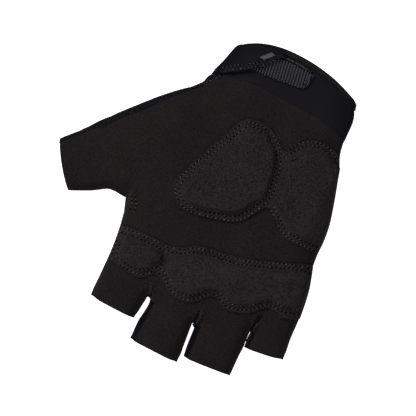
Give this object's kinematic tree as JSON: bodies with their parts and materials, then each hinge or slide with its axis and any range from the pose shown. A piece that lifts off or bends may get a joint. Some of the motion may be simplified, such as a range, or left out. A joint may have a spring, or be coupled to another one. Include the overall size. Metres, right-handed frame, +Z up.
{
  "type": "cycling glove",
  "caption": "Half-finger cycling glove for the right hand, lying palm up, with a suede palm, raised pads in stitched overlays, knit back and a wrist closure.",
  "frame": {"origin": "centre of the glove's bounding box in plan, on the surface that the back of the glove lies on", "axes": "+Y from the fingertips to the wrist, +X across the palm to the little finger, +Z up out of the palm"},
  "size_m": [0.1466, 0.1654, 0.0321],
  "materials": {
    "suede": "fine matt synthetic suede",
    "knit": "matt stretch knit",
    "cuff_fabric": "smooth stretch fabric",
    "foam": "soft closed-cell foam",
    "loop_pile": "ribbed loop pile",
    "strap_fabric": "smooth laminated fabric",
    "edge_tape": "folded edge tape",
    "rubber_label": "satin moulded rubber"
  },
  "bodies": {
    "root": {"palm_panel": "suede", "back_panel": "knit", "cuff": "cuff_fabric", "finger_strip_index_middle": "knit", "finger_strip_middle_ring": "knit", "finger_strip_ring_little": "knit", "heel_overlay": "suede", "heel_foam_centre": "foam", "heel_foam_outer": "foam", "knuckle_overlay": "suede", "knuckle_foam_index": "foam", "knuckle_foam_main": "foam", "wrist_binding": "edge_tape", "loop_patch": "loop_pile", "closure_strap": "strap_fabric", "strap_binding": "edge_tape", "pull_tab": "rubber_label"}
  },
  "joints": []
}
